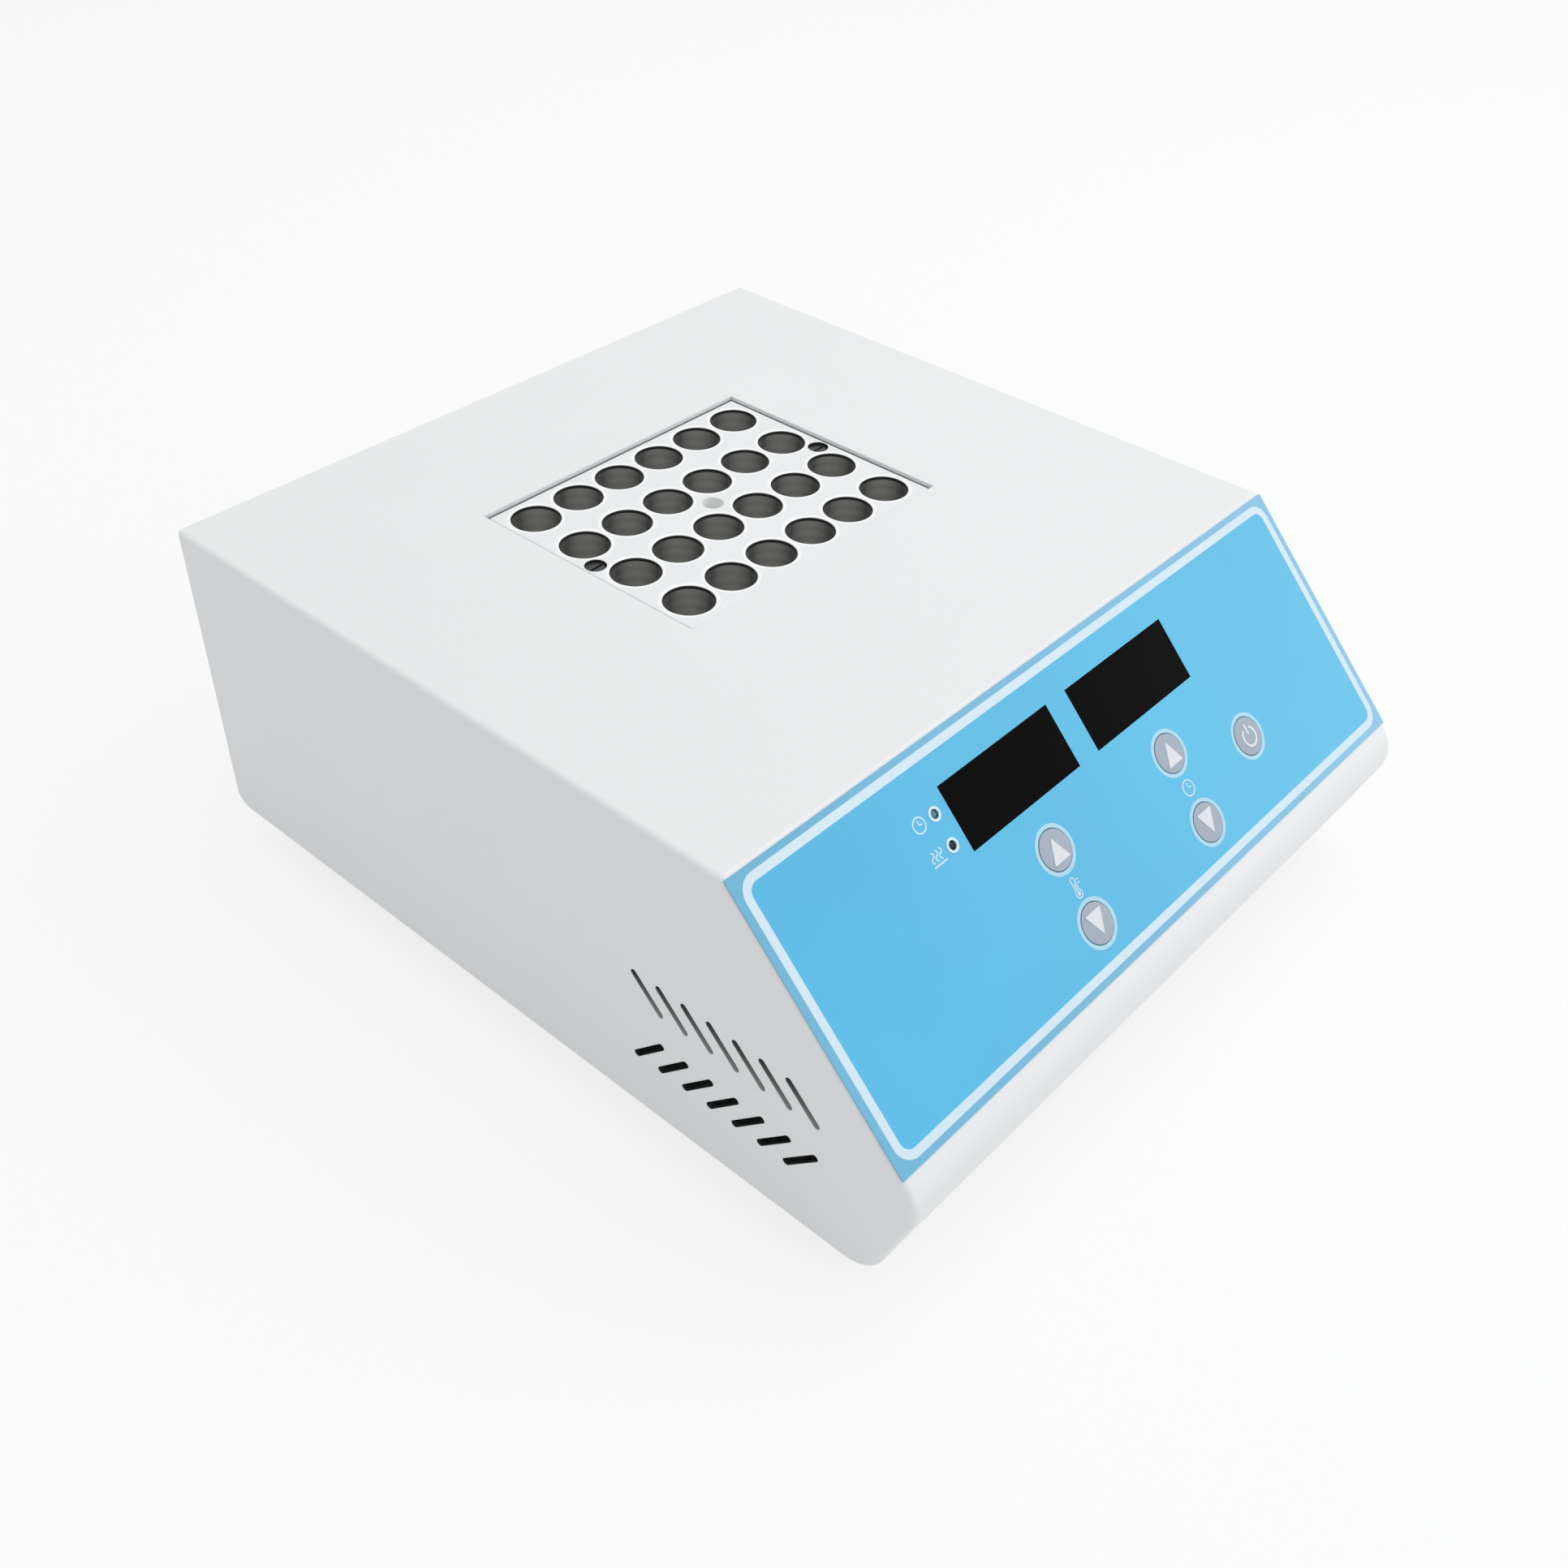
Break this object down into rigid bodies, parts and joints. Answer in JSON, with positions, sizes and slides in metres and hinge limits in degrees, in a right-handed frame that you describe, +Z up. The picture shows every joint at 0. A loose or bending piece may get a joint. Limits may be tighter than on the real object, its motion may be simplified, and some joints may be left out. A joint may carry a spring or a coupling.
{
  "type": "dry bath incubator",
  "caption": "Bench dry bath with a sloping key panel, a lift-out aluminium tube block over a heated plate, side vents and a rear mains inlet.",
  "frame": {"origin": "on the bench, under the middle of the case", "axes": "+X to the right facing the panel, +Y to the rear, +Z up; the panel faces -Y"},
  "size_m": [0.22, 0.2544, 0.1015],
  "materials": {
    "base_tray": "satin powder coat",
    "dark_steel": "black oxide",
    "can_sleeve": "shrink sleeve",
    "case_cover": "satin powder coat, fine orange peel",
    "board_laminate": "solder masked laminate",
    "bright_steel": "zinc plated",
    "module_black": "moulded",
    "foot_rubber": "moulded",
    "overlay_film": "printed polyester film",
    "fuse_glass": "clear tube, plated caps",
    "inlet_black": "moulded, fine texture",
    "lead_red": "silicone wire",
    "mat_silicone": "silicone rubber",
    "pan_steel": "folded sheet",
    "plate_aluminium": "milled",
    "indicator_lens": "tinted lens",
    "contact_brass": "nickel plated",
    "pad_fibre": "ceramic fibre",
    "key_plastic": "satin moulded",
    "lead_brown": "sleeved wire",
    "spacer_nylon": "nylon",
    "lead_white": "sleeved wire",
    "relay_blue": "moulded",
    "ribbon_grey": "ribbon cable",
    "window_smoke": "smoked clear, glossy",
    "terminal_green": "moulded",
    "cutout_steel": "pressed",
    "core_steel": "laminated and varnished",
    "block_aluminium": "bead blasted and anodised",
    "liner_resin": "moulded heatproof resin"
  },
  "bodies": {
    "case": {"base_tray": "base_tray", "capacitors": "can_sleeve", "case_cover": "case_cover", "control_board": "board_laminate", "control_board_screws": "bright_steel", "control_board_spacers": "bright_steel", "control_chips": "module_black", "cover_screws": "bright_steel", "cutout_screws": "bright_steel", "earth_stud": "bright_steel", "foot_front_left": "foot_rubber", "foot_front_right": "foot_rubber", "foot_nuts": "bright_steel", "foot_rear_left": "foot_rubber", "foot_rear_right": "foot_rubber", "foot_screws": "bright_steel", "front_overlay": "overlay_film", "heater_leads": "lead_red", "heater_mat": "mat_silicone", "heater_pan": "pan_steel", "heater_plate": "plate_aluminium", "heating_indicator": "indicator_lens", "inlet_housing": "inlet_black", "inlet_pins": "contact_brass", "inlet_screws": "bright_steel", "insulation_pad": "pad_fibre", "key_switches": "module_black", "mains_leads": "lead_brown", "pan_screws": "bright_steel", "pan_spacers": "bright_steel", "power_board": "board_laminate", "power_board_screws": "bright_steel", "power_board_spacers": "spacer_nylon", "probe_lead": "lead_white", "relay": "relay_blue", "ribbon_cable": "ribbon_grey", "ribbon_headers": "module_black", "switch_housing": "inlet_black", "temperature_display": "module_black", "temperature_probe": "bright_steel", "temperature_window": "window_smoke", "terminal_block": "terminal_green", "thermal_cutout": "cutout_steel", "time_display": "module_black", "time_window": "window_smoke", "timer_indicator": "indicator_lens", "transformer": "core_steel", "triac": "module_black", "triac_heatsink": "plate_aluminium", "well_liner": "liner_resin"},
    "tube_block": {"tube_block": "block_aluminium", "block_screws": "dark_steel"},
    "switch_rocker": {"switch_rocker": "inlet_black"},
    "fuse_drawer": {"fuse_drawer": "inlet_black", "fuse": "fuse_glass"},
    "key_temperature_up": {"key_temperature_up": "key_plastic"},
    "key_temperature_down": {"key_temperature_down": "key_plastic"},
    "key_time_up": {"key_time_up": "key_plastic"},
    "key_time_down": {"key_time_down": "key_plastic"},
    "key_start": {"key_start": "key_plastic"}
  },
  "joints": [
    {"name": "block_lift", "type": "slide", "parent": "case", "child": "tube_block", "axis": [0, 0, 1], "range_m": [0, 0.06]},
    {"name": "rocker_tip", "type": "hinge", "parent": "case", "child": "switch_rocker", "pos_m": [0.012, 0.1222, 0.046], "axis": [-1, 0, 0], "range_deg": [0, 18]},
    {"name": "drawer_pull", "type": "slide", "parent": "case", "child": "fuse_drawer", "axis": [0, 1, 0], "range_m": [0, 0.018]},
    {"name": "key_temperature_up_press", "type": "slide", "parent": "case", "child": "key_temperature_up", "axis": [0, 0.7157, -0.6984], "range_m": [0, 0.0006], "stiffness_N_per_m": 1000, "springref_m": -0.0003},
    {"name": "key_temperature_down_press", "type": "slide", "parent": "case", "child": "key_temperature_down", "axis": [0, 0.7157, -0.6984], "range_m": [0, 0.0006], "stiffness_N_per_m": 1000, "springref_m": -0.0003},
    {"name": "key_time_up_press", "type": "slide", "parent": "case", "child": "key_time_up", "axis": [0, 0.7157, -0.6984], "range_m": [0, 0.0006], "stiffness_N_per_m": 1000, "springref_m": -0.0003},
    {"name": "key_time_down_press", "type": "slide", "parent": "case", "child": "key_time_down", "axis": [0, 0.7157, -0.6984], "range_m": [0, 0.0006], "stiffness_N_per_m": 1000, "springref_m": -0.0003},
    {"name": "key_start_press", "type": "slide", "parent": "case", "child": "key_start", "axis": [0, 0.7157, -0.6984], "range_m": [0, 0.0006], "stiffness_N_per_m": 1000, "springref_m": -0.0003}
  ]
}
